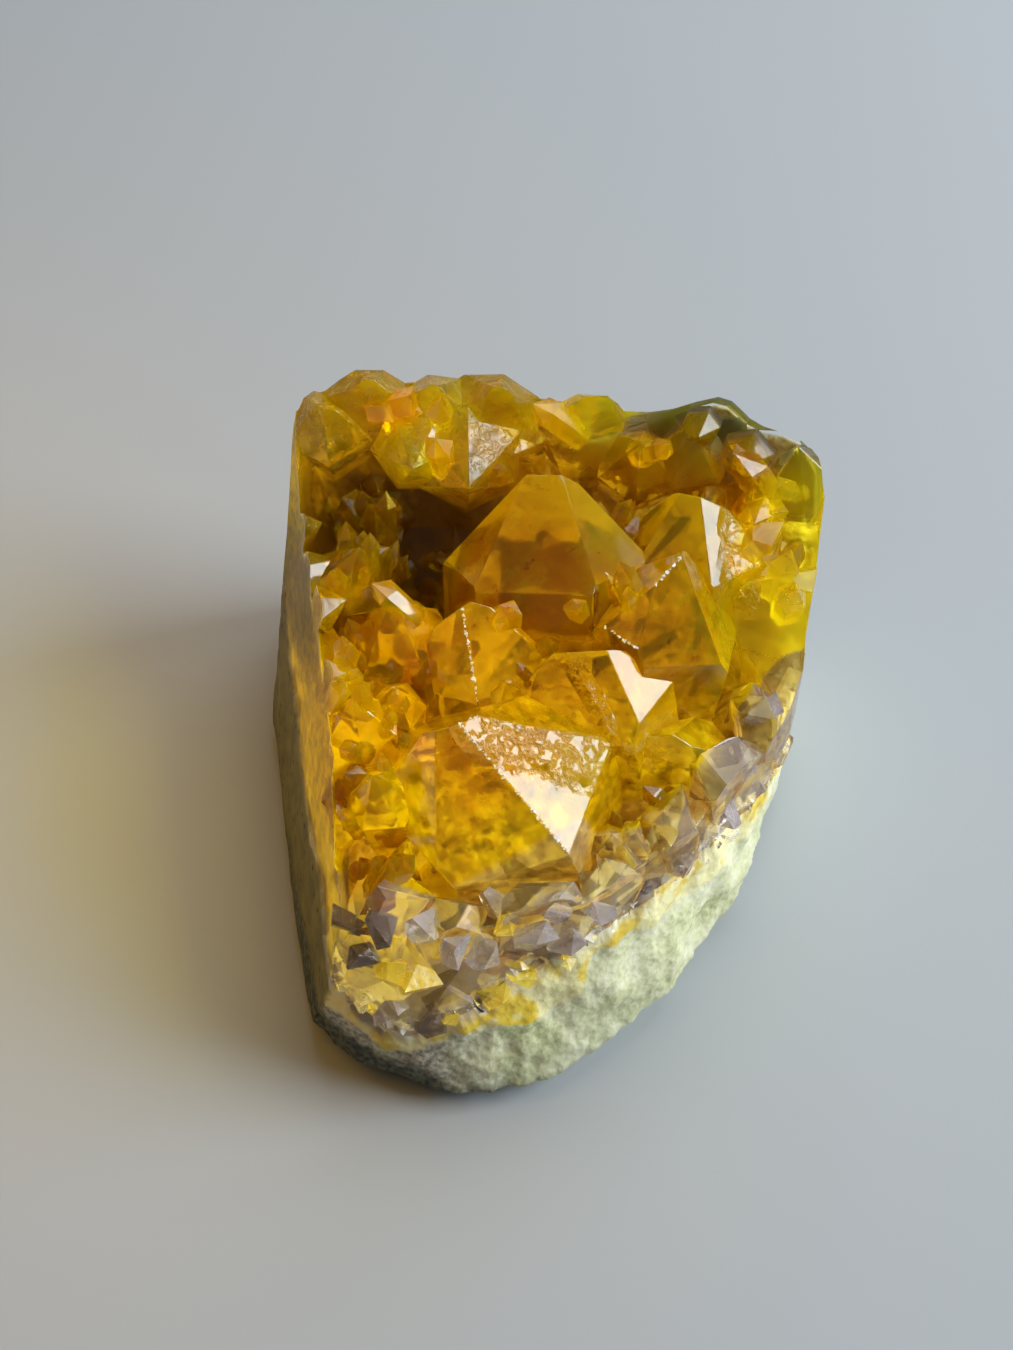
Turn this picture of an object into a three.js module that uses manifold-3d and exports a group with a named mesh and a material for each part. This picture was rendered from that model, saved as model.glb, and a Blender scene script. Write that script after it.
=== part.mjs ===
// Citrine cluster: a broken piece of a crystal-lined geode wall, lying on the flat of its rind.
// Millimetres, +Z up. The origin is under the middle of the piece, on the face it rests on.
// -Y is the low side, where the wall is broken across its layers; -X is a steep, nearly flat break.
//
// Two pieces: the rind (geode_matrix), a shallow bowl of chalcedony and dark skin, and the quartz
// that grew in it (citrine_crystals), one solid in which every crystal is fused to the next.
import * as THREE from "three";
import { ConvexGeometry } from "three/addons/geometries/ConvexGeometry.js";
import { mergeVertices } from "three/addons/utils/BufferGeometryUtils.js";
import Module from "manifold-3d";

const wasm = await Module();
wasm.setup();

// ---------------------------------------------------------------- driving dimensions

const RIND_GAP = 0.3; // clearance between the rind and the quartz that sits in it
const FOOT_INSET = 1.6; // how far the resting face lies inside the widest line of the rind
const FOOT_ROUND = 1.5; // height at which the rind reaches that widest line
const AROUND = 60; // steps round the piece
const BOWL_CENTRE = [-7, 7.5]; // plan position of the deepest point of the bowl
const RIND_FLOOR = 5.5; // height of the rind at the bottom of the bowl
const DRUSE_FLOOR = 8.4; // height of the quartz bed at the bottom of the bowl
const RIND_LUMPS = { amount: 0.9, size: 5.5 }; // relief of the rind: height and spacing
const BED_LUMPS = { amount: 0.8, size: 3.2 }; // relief of the quartz bed

const FACE_SLOPE = 51.8; // angle between a quartz end face and the plane across its axis, degrees

// Stations round the piece, from the front left corner counterclockwise. foot is the widest line
// of the rind, rim the top of the wall with its height, and rind the share of the wall that is rind.
const STATIONS = [
  { foot: [-14.6, -14.0], rim: [-12.0, -12.2, 11.4], rind: 0.62 },
  { foot: [-9.8, -18.0], rim: [-8.6, -13.6, 11.8], rind: 0.44 },
  { foot: [-5.0, -19.2], rim: [-4.4, -13.2, 12.0], rind: 0.56 },
  { foot: [0.8, -17.4], rim: [1.0, -12.0, 12.2], rind: 0.76 },
  { foot: [5.4, -13.4], rim: [5.2, -9.6, 12.4], rind: 0.78 },
  { foot: [9.2, -9.2], rim: [8.8, -6.0, 12.6], rind: 0.76 },
  { foot: [12.0, -3.8], rim: [12.4, -1.6, 12.8], rind: 0.7 },
  { foot: [14.2, 2.6], rim: [14.6, 2.4, 14.0], rind: 0.64 },
  { foot: [14.4, 8.0], rim: [15.9, 7.6, 17.4], rind: 0.66 },
  { foot: [13.4, 13.2], rim: [15.6, 13.9, 21.8], rind: 0.97 },
  { foot: [10.8, 15.6], rim: [12.2, 15.4, 22.4], rind: 0.97 },
  { foot: [8.6, 16.4], rim: [10.2, 16.0, 23.8], rind: 0.97 },
  { foot: [5.4, 17.2], rim: [6.2, 16.8, 21.8], rind: 0.95 },
  { foot: [0.0, 18.6], rim: [1.0, 18.0, 21.0], rind: 0.84 },
  { foot: [-9.0, 19.8], rim: [-9.0, 19.4, 21.2], rind: 0.82 },
  { foot: [-16.0, 18.2], rim: [-15.2, 18.8, 20.6], rind: 0.74 },
  { foot: [-17.8, 12.0], rim: [-16.0, 11.5, 18.0], rind: 0.5 },
  { foot: [-17.2, 2.0], rim: [-14.6, 2.5, 18.5], rind: 0.48 },
  { foot: [-16.2, -6.0], rim: [-13.0, -5.0, 15.5], rind: 0.52 },
];

// The broken left side: a point on it, its lean from upright and its turn about Z, degrees.
const BREAK = { at: [-13.0, 0, 17.5], lean: 13, turn: 10, relief: 0.35 };

// The crystals that can be told apart. tip is the point where the six end faces would meet, lean the
// angle of the axis from upright and toward the compass direction of that lean (0 is +X, 90 is +Y),
// width the size across the prism, spin the direction that the first face looks in, and length from
// tip to root. sides gives the six side faces their own distances from the axis in place of width,
// and cuts moves end faces inwards, which widens them; both in face order.
const CRYSTALS = [
  // [tip], lean, toward, width, spin, length
  // the two that stand nearest the middle of the low side, and their neighbours
  [[-5.5, -5.7, 22.4], 18, 192, 12.0, 278, 16, {
    sides: [5.5, 5.3, 6.0, 6.0, 6.0, 6.2],
    cuts: [1.3, 1.4, 0.7, 0.8, -0.7, 0],
  }],
  [[-4.7, 2.7, 21.8], 14, 141, 6.4, 243, 12, {
    sides: [3.0, 3.2, 3.2, 3.2, 3.2, 3.5],
    cuts: [1.3, 2.0, 0.9, 0.3, 0, -0.4],
  }],
  [[1.4, 0.6, 21.6], 13, 145, 10.0, 265, 14, {
    sides: [3.2, 3.6, 5.2, 5.2, 5.2, 5.2],
    cuts: [1.6, 0.7, 0.2, 1.2, 0, -0.3],
  }],
  [[6.8, 6.4, 22.6], 20, 55, 9.0, 287, 14, {
    sides: [4.6, 5.4, 4.4, 4.4, 4.4, 4.0],
    cuts: [0.1, -0.1, -0.2, 0.7, 1.3, 0],
  }],
  [[-0.3, 11.3, 23.4], 31, 93, 11.0, 262, 16, {
    sides: [4.4, 4.8, 6.0, 6.0, 6.0, 5.5],
    cuts: [0.6, 0, -0.5, 0.4, -0.4, -0.4],
  }],
  [[9.0, 11.2, 22.8], 17, 93, 8.0, 249, 13, {
    sides: [3.6, 3.4, 3.9, 4.2, 4.2, 3.9],
    cuts: [0.5, 0.8, 0.6, 1.4, 0, -0.2],
  }],
  [[10.3, 5.4, 18.9], 50, 176, 9.2, 176, 12, { cuts: [0, 0.2, 1.8, 0.4, 0, 0] }],
  [[14.6, 13.2, 22.6], 12, 200, 5.2, 240, 9],
  [[12.2, 12.4, 21.0], 20, 230, 5.6, 260, 9],
  // low side, right of the middle
  [[11.8, 1.5, 14.9], 12, 110, 4.6, 272, 7],
  [[10.5, 0.7, 13.4], 10, 120, 2.6, 265, 5],
  [[5.6, -3.9, 17.0], 14, 230, 8.8, 272, 10, { cuts: [1.8, 0.3, 0, 0.4, 0, 0] }],
  [[3.3, -8.3, 13.8], 8, 280, 2.4, 250, 5],
  [[5.4, -8.4, 13.0], 14, 330, 2.4, 290, 5],
  [[5.1, 2.8, 18.0], 10, 270, 4.4, 280, 8],
  // left side
  [[-10.3, -6.1, 16.6], 12, 200, 4.2, 270, 8],
  [[-9.4, 4.6, 18.9], 6, 140, 6.0, 265, 9, { cuts: [0.2, 0, 0, 0.3, 0, 0] }],
  [[-11.5, 8.9, 18.4], 12, 20, 5.0, 290, 9],
  [[-11.6, -1.6, 17.8], 8, 180, 4.2, 245, 8],
  [[-9.2, -0.5, 17.4], 4, 0, 3.4, 275, 8],
  [[-2.8, -0.3, 17.6], 0, 0, 4.0, 280, 8],
  // the row that hangs over the deep end from the high side
  [[-13.9, 17.2, 22.4], 20, 260, 5.4, 300, 9, { cuts: [0, 0, 0.6, 0, 0, 0] }],
  [[-11.0, 17.2, 23.6], 26, 275, 5.6, 270, 9, { cuts: [0.8, 0, 0, 0, 0, 0] }],
  [[-8.4, 13.2, 20.5], 62, 265, 5.2, 270, 8],
  [[-5.0, 11.9, 20.3], 66, 272, 6.4, 300, 9],
  [[-3.2, 16.6, 23.8], 24, 280, 6.0, 285, 9, { cuts: [0.5, 0, 0, 0, 0, 0] }],
  [[-7.2, 17.2, 23.4], 18, 255, 5.6, 255, 9, { cuts: [0.6, 0, 0, 0, 0, 0] }],
  [[2.6, 16.8, 23.4], 14, 265, 6.6, 270, 9, { cuts: [0.7, 0, 0, 0.4, 0, 0] }],
  [[5.3, 14.3, 21.8], 22, 255, 5.2, 290, 9],
  [[8.2, 14.6, 22.8], 16, 250, 5.0, 275, 9],
];

// Large blocks of broken quartz on the low side, each with its middle and its size.
const BLOCKS = [
  [[-8.6, -15.4, 7.4], 8.6],
  [[-9.4, -12.2, 10.8], 6.6],
  [[-5.2, -12.9, 10.9], 5.6],
  [[-0.6, -12.6, 11.2], 6.4],
  [[2.9, -11.0, 11.7], 5.2],
  [[7.4, -7.4, 12.0], 6.4],
  [[10.2, -3.9, 12.6], 5.8],
  [[12.2, -0.6, 13.0], 5.0],
];

const DRUSE = { count: 70, width: [1.6, 3.6] }; // small crystals between the others
const GRAINS = { count: 34, size: [2.0, 3.6], reach: [0, 0.44] }; // broken quartz of the low side

// ---------------------------------------------------------------- small tools

const radians = THREE.MathUtils.degToRad;
const mix = THREE.MathUtils.lerp;

// A number from 0 to 1 that depends only on three whole numbers and a seed.
function hash(i, j, k, seed) {
  const spread = [[i, 374761393], [j, 668265263], [k, 1440662683], [seed, 974634777]];
  let h = spread.reduce((sum, [value, prime]) => sum ^ Math.imul(value, prime), 0);
  h = Math.imul(h ^ (h >>> 13), 1274126177);
  return ((h ^ (h >>> 16)) >>> 0) / 4294967296;
}

// Smooth relief between -1 and 1.
function noise(x, y, z, seed) {
  const [i, j, k] = [x, y, z].map(Math.floor);
  const [u, v, w] = [x - i, y - j, z - k].map((f) => f * f * (3 - 2 * f));
  const at = (a, b, c) => hash(i + a, j + b, k + c, seed);
  const row = (b, c) => mix(at(0, b, c), at(1, b, c), u);
  return 2 * mix(mix(row(0, 0), row(1, 0), v), mix(row(0, 1), row(1, 1), v), w) - 1;
}

function relief(point, { amount, size }, seed) {
  const [x, y, z] = point.map((c) => c / size);
  return amount * (0.65 * noise(x, y, z, seed) + 0.35 * noise(2.3 * x, 2.3 * y, 2.3 * z, seed + 1));
}

// Numbers from 0 to 1 in a fixed order.
function dice(seed) {
  let n = 0;
  return () => hash(n++, seed, 7, 11);
}

// ---------------------------------------------------------------- solids

function solidOf(geometry) {
  const bare = geometry.clone();
  bare.deleteAttribute("normal");
  bare.deleteAttribute("uv");
  const merged = mergeVertices(bare, 1e-4);
  const vertProperties = merged.attributes.position.array;
  const triVerts = new Uint32Array(merged.index.array);
  return new wasm.Manifold(new wasm.Mesh({ numProp: 3, vertProperties, triVerts }));
}

function geometryOf(solid) {
  const { vertProperties, triVerts } = solid.getMesh();
  const geometry = new THREE.BufferGeometry();
  geometry.setAttribute("position", new THREE.BufferAttribute(vertProperties, 3));
  geometry.setIndex(new THREE.BufferAttribute(triVerts, 1));
  const flat = geometry.toNonIndexed();
  flat.computeVertexNormals();
  return flat;
}

const joined = (solids) => solids.reduce((whole, one) => whole.add(one));

// The largest body of a solid, without the chips that a cut leaves loose.
const largest = (solid) => solid.decompose().reduce((a, b) => (a.volume() > b.volume() ? a : b));

// A closed solid from rings of points, each ring the same length, between two end points.
function lofted(first, rings, last) {
  const points = [first, ...rings.flat(), last];
  const count = rings[0].length;
  const at = (ring, i) => 1 + ring * count + (i % count);
  const faces = [];
  for (let i = 0; i < count; i++) {
    faces.push(0, at(0, i + 1), at(0, i));
    faces.push(points.length - 1, at(rings.length - 1, i), at(rings.length - 1, i + 1));
    for (let r = 0; r < rings.length - 1; r++) {
      faces.push(at(r, i), at(r, i + 1), at(r + 1, i));
      faces.push(at(r, i + 1), at(r + 1, i + 1), at(r + 1, i));
    }
  }
  const geometry = new THREE.BufferGeometry();
  geometry.setAttribute("position", new THREE.Float32BufferAttribute(points.flat(), 3));
  geometry.setIndex(faces);
  return solidOf(geometry);
}

// ---------------------------------------------------------------- the wall of the geode

const closedCurve = (points) => new THREE.CatmullRomCurve3(points, true, "centripetal");
const footCurve = closedCurve(STATIONS.map((s) => new THREE.Vector3(...s.foot, 0)));
const rimCurve = closedCurve(STATIONS.map((s) => new THREE.Vector3(...s.rim)));
const shareCurve = closedCurve(STATIONS.map((s, i) => new THREE.Vector3(i, 0, s.rind)));

// The piece's outer wall: turn is 0 to 1 round the piece, up is 0 at the foot and 1 at the rim.
function wall(turn, up) {
  const foot = footCurve.getPoint(turn % 1);
  const rim = rimCurve.getPoint(turn % 1);
  const bulge = 1 + 0.03 * Math.sin(Math.PI * up);
  const point = [mix(foot.x, rim.x, up) * bulge, mix(foot.y, rim.y, up) * bulge, rim.z * up];
  const push = 1 + relief(point, RIND_LUMPS, 3) / Math.hypot(point[0], point[1]);
  return [point[0] * push, point[1] * push, point[2]];
}

const rindShare = (turn) => shareCurve.getPoint(turn % 1).z;

// A point of the bowl between its centre and the wall. out is 0 at the centre and 1 at the wall.
function bowl(turn, out, up, floor, lumps, seed) {
  const edge = wall(turn, up);
  const [cx, cy] = BOWL_CENTRE;
  const point = [mix(cx, edge[0], out), mix(cy, edge[1], out), mix(floor, edge[2], out ** 2.2)];
  point[2] += relief(point, lumps, seed) * (1 - out ** 6);
  return point;
}

const turns = Array.from({ length: AROUND }, (_, i) => i / AROUND);
const ring = (make) => turns.map(make);
const BOWL_STEPS = [0.9, 0.78, 0.62, 0.44, 0.24];

// The rind. With a gap it is the space kept clear of quartz: raised and thickened by that gap, and
// carried past the outside of the piece.
function rindSolid(gap = 0) {
  const past = 3 * gap;
  const [cx, cy] = BOWL_CENTRE;
  const scaled = ([x, y, z], by) => [x * by, y * by, z];
  const grown = (p) => scaled(p, 1 + past / Math.hypot(p[0], p[1]));
  const inset = ([x, y]) => scaled([x, y, -past], 1 - FOOT_INSET / Math.hypot(x, y));
  const raised = ([x, y, z]) => {
    const away = Math.hypot(x - cx, y - cy);
    return [x - (gap * (x - cx)) / away, y - (gap * (y - cy)) / away, z + gap];
  };
  const low = (t) => FOOT_ROUND / wall(t, 1)[2];
  const top = (t) => rindShare(t) + gap / wall(t, 1)[2];
  const outer = [0, 0.2, 0.4, 0.6, 0.8, 1].map((k) => ring((t) => grown(wall(t, mix(low(t), top(t), k)))));
  const steps = gap > 0 ? [1, ...BOWL_STEPS] : BOWL_STEPS;
  const inside = (t, out) => bowl(t, out, rindShare(t), RIND_FLOOR, RIND_LUMPS, 21);
  const inner = steps.map((out) => ring((t) => raised(inside(t, out))));
  const middle = [cx, cy, RIND_FLOOR + gap + relief([cx, cy, RIND_FLOOR], RIND_LUMPS, 21)];
  const rings = [ring((t) => inset(wall(t, low(t)))), ...outer, ...inner];
  return lofted([0, 0, -past], rings, middle);
}

// The quartz bed that the crystals stand on, from below the rind's surface to the rim.
function bedSolid() {
  const sunk = 1.5;
  const under = [0.3, 0.6, 0.85].map((out) =>
    ring((t) => {
      const p = bowl(t, out, rindShare(t), RIND_FLOOR, RIND_LUMPS, 21);
      return [p[0], p[1], p[2] - sunk];
    }),
  );
  const side = [-0.08, 0.3, 0.65, 1].map((k) => ring((t) => wall(t, mix(rindShare(t), 1, k))));
  const top = BOWL_STEPS.map((out) => ring((t) => bowl(t, out, 1, DRUSE_FLOOR, BED_LUMPS, 31)));
  const [cx, cy] = BOWL_CENTRE;
  return lofted([cx, cy, RIND_FLOOR - sunk], [...under, ...side, ...top], [cx, cy, DRUSE_FLOOR]);
}

// Everything inside the outer wall and above it, out to a distance past the wall.
function roomInside(past = 0) {
  const grown = ([x, y, z]) => [x + (past * x) / Math.hypot(x, y), y + (past * y) / Math.hypot(x, y), z];
  const rings = [0.2, 0.4, 0.6, 0.8, 1].map((k) => ring((t) => grown(wall(t, k))));
  const high = ring((t) => [...grown(wall(t, 1)).slice(0, 2), 30]);
  return lofted([0, 0, 0], [...rings, high], [0, 0, 30]);
}

// The half space outside the broken left side, as a thick slab with a rough face.
function breakSlab() {
  const deep = 20;
  const slab = new THREE.BoxGeometry(deep, 70, 60, 1, 20, 16);
  const spots = slab.attributes.position;
  for (let i = 0; i < spots.count; i++) {
    if (spots.getX(i) > 0) {
      const rough = relief([0, spots.getY(i), spots.getZ(i)], { amount: BREAK.relief, size: 6 }, 41);
      spots.setX(i, deep / 2 + rough);
    }
  }
  slab.translate(-deep / 2, 0, 0);
  slab.rotateY(radians(BREAK.lean));
  slab.rotateZ(radians(BREAK.turn));
  slab.translate(...BREAK.at);
  return solidOf(slab);
}

// ---------------------------------------------------------------- crystals

// Corners of the convex shape inside a set of planes, each plane a normal and a distance.
function cornersInside(planes) {
  const corners = [];
  const edge = new THREE.Matrix3();
  for (let a = 0; a < planes.length; a++)
    for (let b = a + 1; b < planes.length; b++)
      for (let c = b + 1; c < planes.length; c++) {
        const three = [planes[a], planes[b], planes[c]];
        edge.set(...three.flatMap((p) => p.normal.toArray()));
        if (Math.abs(edge.determinant()) < 1e-6) continue;
        const corner = new THREE.Vector3(...three.map((p) => p.distance));
        corner.applyMatrix3(edge.clone().invert());
        if (planes.every((p) => p.normal.dot(corner) < p.distance + 1e-6)) corners.push(corner);
      }
  return corners;
}

// A six-sided quartz crystal with its tip at the origin of its own frame and its axis along +Z.
function quartzPoint(tip, lean, toward, width, spin, length, extra = {}) {
  const { slope = FACE_SLOPE, cuts = [], sides = [] } = extra;
  const planes = [{ normal: new THREE.Vector3(0, 0, -1), distance: length }];
  const tilt = radians(slope);
  const turn = radians(toward);
  for (let k = 0; k < 6; k++) {
    const way = radians(spin + 60 * k) - turn;
    const side = new THREE.Vector3(Math.cos(way), Math.sin(way), 0);
    planes.push({ normal: side, distance: sides[k] ?? width / 2 });
    const end = side.clone().multiplyScalar(Math.sin(tilt)).setZ(Math.cos(tilt));
    planes.push({ normal: end, distance: -(cuts[k] ?? 0) });
  }
  const geometry = new ConvexGeometry(cornersInside(planes));
  geometry.rotateY(radians(lean));
  geometry.rotateZ(turn);
  geometry.translate(...tip);
  return solidOf(geometry);
}

// A small crystal standing square on the quartz bed.
function druseCrystal(turn, out, width, above) {
  const at = (t, o) => new THREE.Vector3(...bowl(t, o, 1, DRUSE_FLOOR, BED_LUMPS, 31));
  const foot = at(turn, out);
  const round = at(turn + 0.01, out).sub(foot);
  const outward = at(turn, out + 0.03).sub(foot);
  const normal = outward.cross(round).normalize();
  const tip = foot.clone().addScaledVector(normal, above);
  const lean = THREE.MathUtils.radToDeg(Math.acos(normal.z));
  const toward = THREE.MathUtils.radToDeg(Math.atan2(normal.y, normal.x));
  const spin = 60 * hash(Math.round(turn * 1e4), Math.round(out * 1e4), 0, 9);
  return quartzPoint(tip.toArray(), lean, toward, width, spin, above + 1.5);
}

// A many-faced grain of broken quartz.
function grain(centre, size, roll, corner = 9) {
  const corners = Array.from({ length: corner }, () => {
    const way = new THREE.Vector3(roll() - 0.5, roll() - 0.5, roll() - 0.5).normalize();
    return way.multiply(new THREE.Vector3(0.5 * size, 0.5 * size, 0.38 * size));
  });
  const geometry = new ConvexGeometry(corners);
  geometry.rotateX(3 * roll());
  geometry.rotateZ(6 * roll());
  geometry.translate(...centre);
  return solidOf(geometry);
}

// Small crystals all over the bed, more of them near the wall.
function druse() {
  const roll = dice(5);
  const crystals = [];
  while (crystals.length < DRUSE.count) {
    const width = mix(...DRUSE.width, roll() ** 2);
    const turn = roll();
    const out = mix(0.3, 0.95, Math.sqrt(roll()));
    const above = width * mix(0.6, 1.1, roll());
    const low = turn < GRAINS.reach[1] && out > 0.8;
    if (!low) crystals.push(druseCrystal(turn, out, width, above));
  }
  return crystals;
}

// The broken edge of the quartz on the low side, between the rind and the rim.
function brokenEdge() {
  const roll = dice(8);
  const blocks = BLOCKS.map(([middle, size]) => grain(middle, size, roll, 16));
  const grains = Array.from({ length: GRAINS.count }, () => {
    const turn = mix(...GRAINS.reach, roll());
    const up = mix(rindShare(turn) + 0.08, 1.0, roll());
    const [x, y, z] = wall(turn, up);
    const inward = 1 - mix(0.8, 1.7, roll()) / Math.hypot(x, y);
    return grain([x * inward, y * inward, z], mix(...GRAINS.size, roll()), roll);
  });
  return joined([...blocks, ...grains]).intersect(roomInside(0.4));
}

// ---------------------------------------------------------------- the cluster

const outside = breakSlab();
const matrix = largest(rindSolid().subtract(outside));
const points = joined([...CRYSTALS.map((crystal) => quartzPoint(...crystal)), ...druse()]);
const whole = joined([bedSolid(), points.intersect(roomInside()), brokenEdge()]);
const quartz = largest(whole.subtract(rindSolid(RIND_GAP)).subtract(outside));

const rindFinish = new THREE.MeshStandardMaterial({ color: 0xb9bd9b, roughness: 0.85, metalness: 0 });
const citrineFinish = new THREE.MeshStandardMaterial({ color: 0xd29a08, roughness: 0.15, metalness: 0 });

function piece(name, solid, finish) {
  const mesh = new THREE.Mesh(geometryOf(solid), finish);
  mesh.name = name;
  return mesh;
}

const cluster = new THREE.Group();
cluster.add(piece("geode_matrix", matrix, rindFinish));
cluster.add(piece("citrine_crystals", quartz, citrineFinish));

// The origin goes under the middle of the piece, on its resting face.
const middle = new THREE.Box3().setFromObject(cluster).getCenter(new THREE.Vector3());
cluster.position.set(-middle.x, -middle.y, 0);

export default cluster;
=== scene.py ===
# %% [markdown]
# # A citrine cluster
# This is a broken piece of a geode. A geode is a hollow in rock, lined first with chalcedony and then with
# quartz crystals that point inwards. Here the crystals are citrine: clear at the root and amber at the tip.
# The solids are already made, so this script loads them as a fixed frame. It then gives each
# one a finer surface and a finish, and adds what is too small to be part of the solids. All sizes below are
# in millimetres, and MM turns them into Blender's metres.

# %% Load the frame
import math
import random

import bmesh
import bpy
import numpy as np
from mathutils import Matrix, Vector, noise
from mathutils.bvhtree import BVHTree


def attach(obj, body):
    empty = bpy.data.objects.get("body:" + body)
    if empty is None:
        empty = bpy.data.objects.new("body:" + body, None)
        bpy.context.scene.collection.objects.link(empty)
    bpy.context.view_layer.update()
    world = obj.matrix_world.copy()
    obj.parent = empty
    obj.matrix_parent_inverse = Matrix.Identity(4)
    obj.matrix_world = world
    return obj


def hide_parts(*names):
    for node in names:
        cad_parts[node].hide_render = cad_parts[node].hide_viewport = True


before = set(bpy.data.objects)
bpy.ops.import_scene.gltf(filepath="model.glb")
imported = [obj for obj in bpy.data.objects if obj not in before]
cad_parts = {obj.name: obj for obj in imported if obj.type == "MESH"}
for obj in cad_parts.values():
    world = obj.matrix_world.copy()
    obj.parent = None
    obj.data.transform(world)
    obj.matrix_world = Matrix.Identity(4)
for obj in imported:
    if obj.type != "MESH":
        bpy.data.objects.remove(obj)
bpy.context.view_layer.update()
MM = 0.001

# %% [markdown]
# ## Where we stand
# The piece is small, about 39 mm long, so the camera is close. It looks down steeply, which shows the
# crystals tip first. A camera in Blender looks along its own -Z, so the code turns its +Z away from the piece.

# %% Camera
LOOK_AT = Vector((-1.86, 3.23, 12.0)) * MM
STEEPNESS = math.radians(55)
DISTANCE = 137 * MM

camera = bpy.data.objects.new("camera", bpy.data.cameras.new("camera"))
bpy.context.scene.collection.objects.link(camera)
bpy.context.scene.camera = camera
camera.data.lens = 60
camera.data.clip_start = 5 * MM
sight = Vector((0, math.cos(STEEPNESS), -math.sin(STEEPNESS)))
camera.location = LOOK_AT - sight * DISTANCE
camera.rotation_mode = "QUATERNION"
camera.rotation_quaternion = (-sight).to_track_quat("Z", "Y")
print("camera at", [round(c / MM) for c in camera.location], "mm")

# %% [markdown]
# ## The light
# Flat crystal faces work like mirrors, so the look depends on what stands around them. One large lamp, high
# on the right, plays the window: only the faces that are turned toward it flash white. A second one behind
# the piece, weaker, shines through the back crystals. Light that leaves the quartz on the left is amber,
# and a very weak amber lamp over that side stands for it, because tracing it through the glass is slow and
# leaves noise. The sky is dim and warm, so that the shadows are neither black nor blue.

# %% A function for lamps


def soft_light(name, place, aim, size, power, colour):
    """A rectangle that gives off light: place and aim in mm, size as width and height in mm."""
    lamp = bpy.data.lights.new(name, "AREA")
    lamp.shape = "RECTANGLE"
    lamp.size, lamp.size_y = size[0] * MM, size[1] * MM
    lamp.energy = power
    lamp.color = colour
    holder = bpy.data.objects.new(name, lamp)
    holder.location = Vector(place) * MM
    toward = (Vector(place) - Vector(aim)).normalized()
    holder.rotation_mode = "QUATERNION"
    holder.rotation_quaternion = toward.to_track_quat("Z", "Y")
    holder.visible_camera = False
    bpy.context.scene.collection.objects.link(holder)
    return holder


# %% Lamps and sky
soft_light("window", (346, 12, 212), (0, 0, 12), (240, 240), 2.03, (0.87, 0.95, 1.0))
soft_light("back_window", (90, 250, 300), (0, 0, 12), (300, 260), 0.66, (0.90, 0.95, 1.0))
soft_light("amber_glow", (-58, 0, 60), (-58, 0, 0), (76, 60), 0.016, (1.0, 0.52, 0.03))

sky = bpy.data.worlds.new("sky")
bpy.context.scene.world = sky
sky.use_nodes = True
backdrop = sky.node_tree.nodes["Background"]
backdrop.inputs["Color"].default_value = (1.0, 0.92, 0.78, 1)
backdrop.inputs["Strength"].default_value = 0.075
bpy.context.scene.view_settings.view_transform = "Standard"

# %% [markdown]
# ## Writing finishes as sums
# A material in Blender is a net of nodes. Long nets are hard to read, so a small class wraps one socket and
# lets us write `0.4 + grain * 0.2` instead of naming each Math node. Python looks up what `+` means for our
# class in `__add__`, and in `__radd__` when the number comes first.

# %% A wrapper for sockets


class Value:
    """One output of a node, which can be used in sums."""

    def __init__(self, finish, socket):
        self.finish = finish
        self.socket = socket

    def sum(self, operation, first, second):
        return self.finish.add("Math", {"operation": operation}, {0: first, 1: second})

    def __add__(self, other):
        return self.sum("ADD", self, other)

    def __sub__(self, other):
        return self.sum("SUBTRACT", self, other)

    def __mul__(self, other):
        return self.sum("MULTIPLY", self, other)

    def __rsub__(self, other):
        return self.sum("SUBTRACT", other, self)

    __radd__ = __add__
    __rmul__ = __mul__

    def fade(self, low, high):
        """0 below low and 1 above high, with a smooth step between; low may be the larger one."""
        settings = {"interpolation_type": "SMOOTHSTEP"}
        return self.finish.add("MapRange", settings, {0: self, 1: low, 2: high, 3: 0.0, 4: 1.0})


sums = [name for name in vars(Value) if name.strip("_")[-3:] in ("add", "sub", "mul")]
print("sums that a Value knows:", sums)

# %% [markdown]
# ## One class for all finishes
# Every other node is made by one method, `add`, from its kind, its settings and what its sockets get. The
# methods after it are short names for the nodes that stone and quartz need: clouds and cells for patterns,
# `mark` for numbers that the mesh carries, and `mixed` and `ramp` for colours, because a Math node would
# turn a colour grey.
#
# Clear quartz needs a trick. Blender lets no lamp shine straight through a glass surface, so the stone
# under the crystals would be nearly black. `lets_light_in` shows the glass to the camera but a tinted clear
# film to the lamps' rays. The bed then lights up, and even the shadow beside the piece becomes warm.

# %% A class for finishes


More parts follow.
